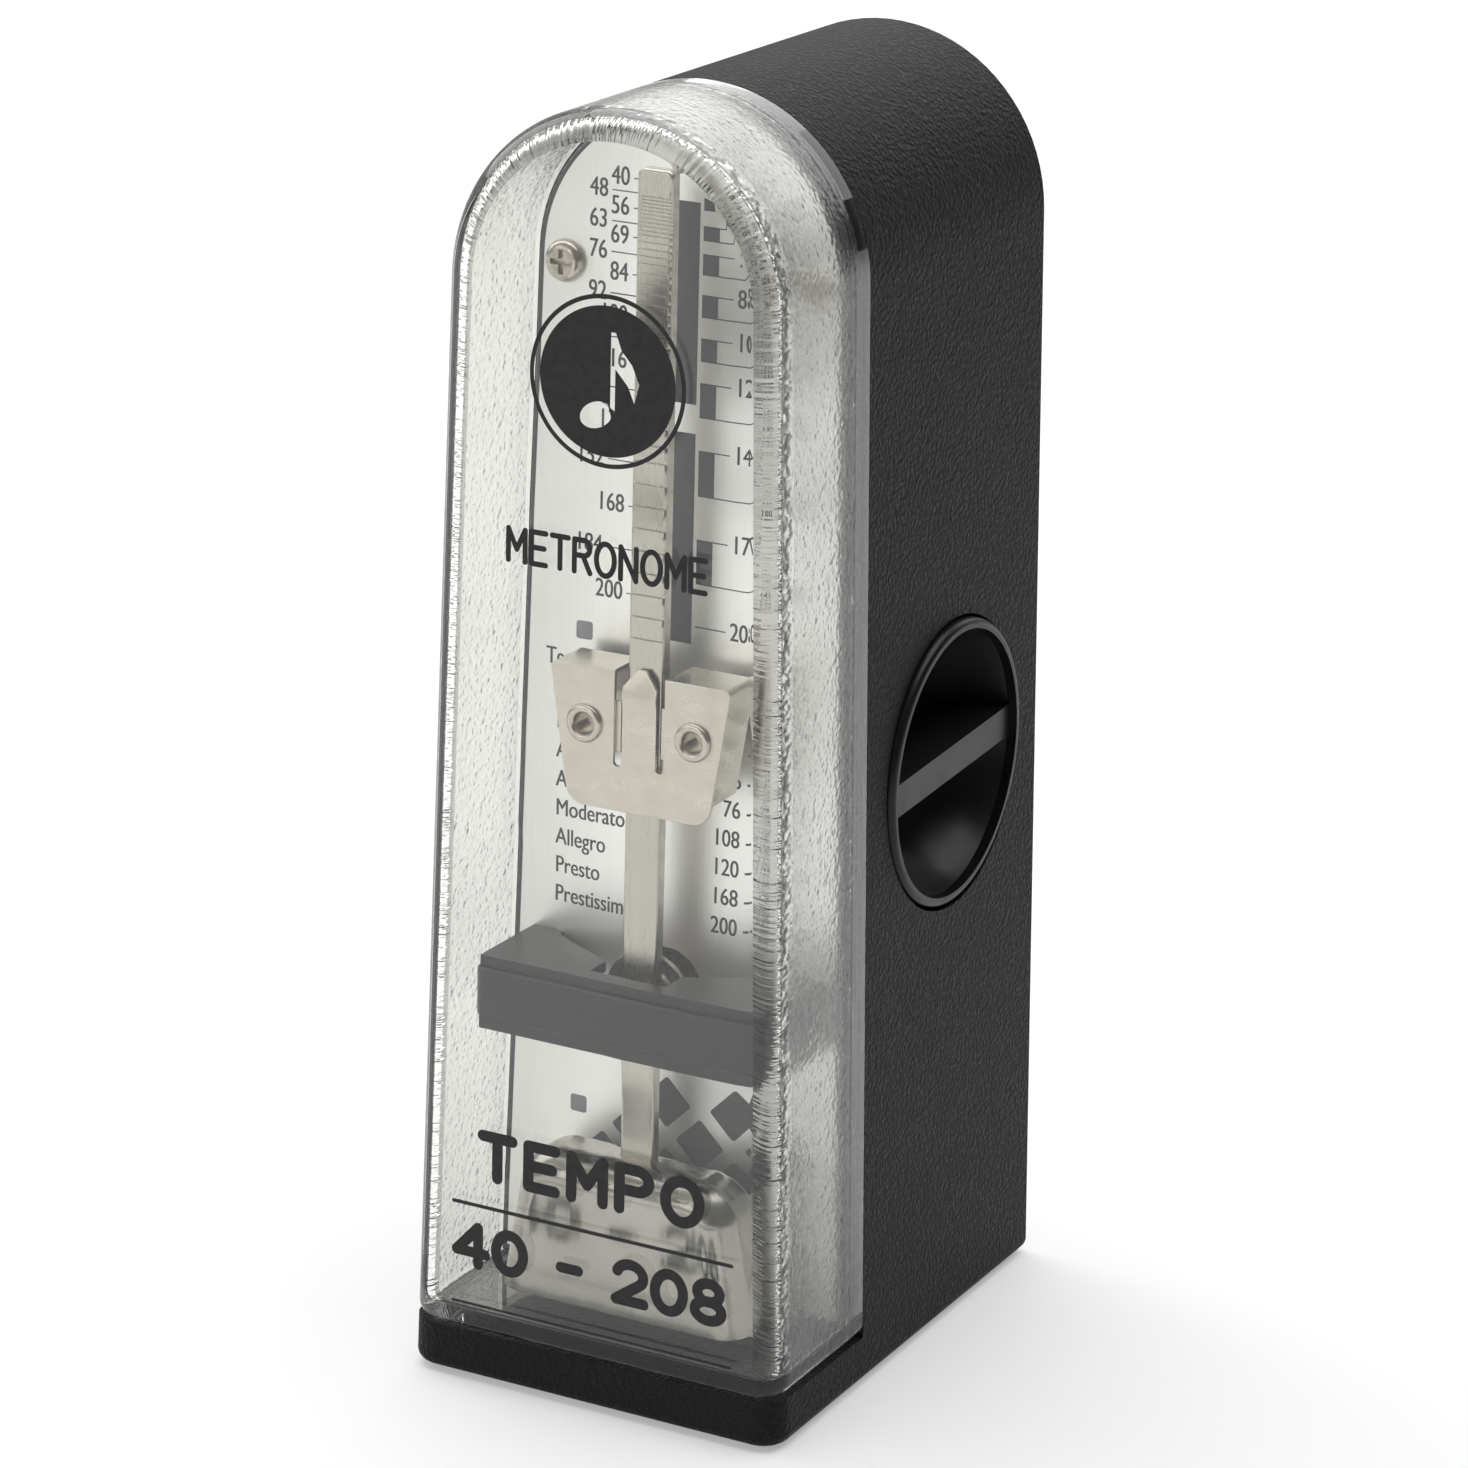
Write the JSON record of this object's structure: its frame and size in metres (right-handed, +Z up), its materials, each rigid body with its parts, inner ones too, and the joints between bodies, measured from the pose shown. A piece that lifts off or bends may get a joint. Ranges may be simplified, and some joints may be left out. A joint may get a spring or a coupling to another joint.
{
  "type": "metronome",
  "caption": "Slim wind-up metronome: arched black case, clear front cover, pendulum with sliding weight in front of a tempo plate, round winding dish on the right side.",
  "frame": {"origin": "on the surface the feet rest on, under the middle of the case", "axes": "+Z up; -Y is the front, with the clear cover and the scale; +X is the side with the winding dish"},
  "size_m": [0.0482, 0.067, 0.15],
  "materials": {
    "black_case": "black moulded plastic with a fine leather grain",
    "black_dish": "satin black moulded plastic",
    "clear_cover": "clear moulded plastic, smooth window, frosted ripple on the sides",
    "plate_silver": "finely brushed, printed in dark grey",
    "bridge_grey": "satin dark grey moulded plastic",
    "rod_steel": "satin, brushed lengthwise",
    "weight_chrome": "polished",
    "slider_steel": "satin",
    "screw_nickel": "nickel plated",
    "steel_dark": "blued or plain steel",
    "movement_brass": "satin brass",
    "spring_steel": "blued spring steel",
    "foot_rubber": "matt black rubber"
  },
  "bodies": {
    "case": {"case_shell": "black_case", "base_plate": "black_case", "base_screw_1": "steel_dark", "base_screw_2": "steel_dark", "base_screw_3": "steel_dark", "base_screw_4": "steel_dark", "rubber_foot_1": "foot_rubber", "rubber_foot_2": "foot_rubber", "rubber_foot_3": "foot_rubber", "rubber_foot_4": "foot_rubber", "scale_plate": "plate_silver", "plate_screw_left": "screw_nickel", "plate_screw_right": "screw_nickel", "bridge": "bridge_grey", "bridge_screw_left": "steel_dark", "bridge_screw_right": "steel_dark", "front_bush": "movement_brass", "frame_plate_left": "movement_brass", "frame_plate_right": "movement_brass", "pillar_1": "movement_brass", "pillar_2": "movement_brass", "pillar_3": "movement_brass", "pillar_4": "movement_brass", "frame_bolt_1": "steel_dark", "frame_bolt_2": "steel_dark", "frame_bolt_3": "steel_dark", "frame_bolt_4": "steel_dark", "rear_bar": "movement_brass", "rear_bush": "movement_brass", "click_screw": "steel_dark", "click_spring": "spring_steel"},
    "cover": {"clear_cover": "clear_cover"},
    "pendulum": {"pendulum_rod": "rod_steel", "counterweight": "weight_chrome", "counterweight_screw": "steel_dark", "pendulum_arbor": "steel_dark", "arbor_hub": "screw_nickel", "pallets": "steel_dark"},
    "slider": {"slider_shell": "slider_steel", "slider_block": "slider_steel", "slider_rivet_left": "screw_nickel", "slider_rivet_right": "screw_nickel"},
    "winder": {"winding_dish": "black_dish", "barrel_arbor": "steel_dark", "ratchet_wheel": "steel_dark"},
    "click": {"click": "steel_dark"},
    "barrel": {"barrel": "movement_brass", "barrel_cap": "movement_brass", "mainspring": "spring_steel"},
    "middle": {"middle_arbor": "steel_dark", "middle_pinion": "steel_dark", "middle_wheel": "movement_brass"},
    "escape": {"escape_arbor": "steel_dark", "escape_pinion": "steel_dark", "escape_wheel": "movement_brass"}
  },
  "joints": [
    {"name": "cover_slide", "type": "slide", "parent": "case", "child": "cover", "axis": [0, -1, 0], "range_m": [0, 0.03]},
    {"name": "pendulum_swing", "type": "hinge", "parent": "case", "child": "pendulum", "pos_m": [0, -0.0218, 0.0468], "axis": [0, 1, 0], "range_deg": [-3, 3]},
    {"name": "weight_slide", "type": "slide", "parent": "pendulum", "child": "slider", "axis": [0, 0, 1], "range_m": [0, 0.0536]},
    {"name": "knob_turn", "type": "hinge", "parent": "case", "child": "winder", "pos_m": [0.0229, 0.0105, 0.0694], "axis": [1, 0, 0], "continuous": true},
    {"name": "click_pivot", "type": "hinge", "parent": "case", "child": "click", "pos_m": [0.01, 0.0191, 0.0766], "axis": [1, 0, 0], "range_deg": [-12, 0], "stiffness_Nm_per_rad": 0.001, "springref_deg": 11.46},
    {"name": "barrel_turn", "type": "hinge", "parent": "case", "child": "barrel", "pos_m": [-0.008, 0.0105, 0.0694], "axis": [1, 0, 0], "continuous": true},
    {"name": "middle_turn", "type": "hinge", "parent": "case", "child": "middle", "pos_m": [0, 0.01787, 0.05703], "axis": [1, 0, 0], "continuous": true},
    {"name": "escape_turn", "type": "hinge", "parent": "case", "child": "escape", "pos_m": [0, 0.008, 0.0554], "axis": [1, 0, 0], "continuous": true}
  ],
  "couplings": [
    {"joint": "middle_turn", "follows": "barrel_turn", "ratio": -5},
    {"joint": "escape_turn", "follows": "barrel_turn", "ratio": 20}
  ]
}
